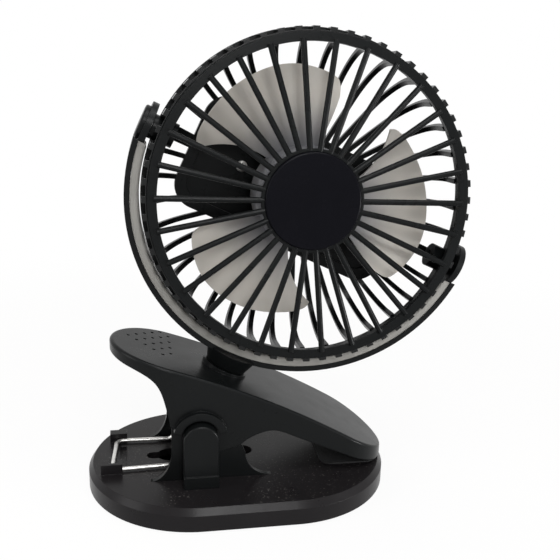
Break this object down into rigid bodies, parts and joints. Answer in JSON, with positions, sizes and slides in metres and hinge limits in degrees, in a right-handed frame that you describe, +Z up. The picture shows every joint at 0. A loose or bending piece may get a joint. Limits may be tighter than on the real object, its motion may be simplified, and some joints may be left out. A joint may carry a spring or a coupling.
{
  "type": "clip fan",
  "caption": "Small battery clip fan: a spring clip on an oval base, a swivelling half-ring yoke and a round caged head that tilts in it",
  "frame": {"origin": "centre of the face that the base stands on, in the plane of the table", "axes": "+X along the base towards the mouth of the clip, +Z up, -Y towards the side with the front pivot cover, which is the front of the fan"},
  "size_m": [0.1677, 0.095, 0.2002],
  "materials": {
    "base_plastic": "satin",
    "battery_wrap": "satin",
    "board_green": "satin",
    "button_plastic": "satin",
    "cage_plastic": "satin",
    "cap_plastic": "gloss",
    "cover_plastic": "satin",
    "inlay_plastic": "satin",
    "jaw_plastic": "satin",
    "motor_steel": "satin",
    "pad_rubber": "matte",
    "rotor_plastic": "satin",
    "screw_steel": "satin",
    "socket_steel": "bright",
    "spring_wire": "bright",
    "yoke_plastic": "satin"
  },
  "bodies": {
    "base": {"base_plate": "base_plastic", "bottom_cover": "base_plastic", "grip_mat": "pad_rubber", "base_screws": "screw_steel", "base_pad": "pad_rubber", "hinge_bracket": "base_plastic", "pivot_cover_front": "base_plastic", "pivot_cover_back": "base_plastic", "pivot_pin": "screw_steel", "torsion_spring": "spring_wire"},
    "upper_jaw": {"jaw_shell": "jaw_plastic", "jaw_pad": "pad_rubber", "spring_arms": "spring_wire"},
    "yoke": {"yoke_arm": "yoke_plastic", "yoke_inlay": "inlay_plastic", "pivot_cap_left": "yoke_plastic", "pivot_cap_right": "yoke_plastic", "tilt_pins": "screw_steel", "swivel_washer": "screw_steel", "swivel_screw": "screw_steel"},
    "head": {"front_grille": "cage_plastic", "front_cap": "cap_plastic", "back_grille": "cage_plastic", "grip_ring": "cage_plastic", "rear_cover": "cover_plastic", "battery": "battery_wrap", "circuit_board": "board_green", "usb_socket": "socket_steel", "motor": "motor_steel", "tray_screws": "screw_steel"},
    "fan_rotor": {"rotor": "rotor_plastic", "motor_shaft": "screw_steel"},
    "button": {"power_button": "button_plastic"}
  },
  "joints": [
    {"name": "jaw_hinge", "type": "hinge", "parent": "base", "child": "upper_jaw", "pos_m": [-0.0192, 0, 0.0315], "axis": [0, -1, 0], "range_deg": [0, 25], "stiffness_Nm_per_rad": 1.2, "springref_deg": -40.11},
    {"name": "neck_swivel", "type": "hinge", "parent": "upper_jaw", "child": "yoke", "pos_m": [0.0287, 0, 0.1294], "axis": [0.4179, 0, 0.9085], "range_deg": [-175, 175]},
    {"name": "head_tilt", "type": "hinge", "parent": "yoke", "child": "head", "pos_m": [0.0287, 0, 0.1294], "axis": [0.9081, -0.0297, -0.4177], "range_deg": [-90, 90]},
    {"name": "rotor_spin", "type": "hinge", "parent": "head", "child": "fan_rotor", "pos_m": [0.0287, 0, 0.1294], "axis": [0.003, -0.997, 0.0773], "continuous": true},
    {"name": "button_press", "type": "slide", "parent": "head", "child": "button", "axis": [0.003, -0.997, 0.0773], "range_m": [0, 0.001], "stiffness_N_per_m": 400, "springref_m": -0.001}
  ]
}
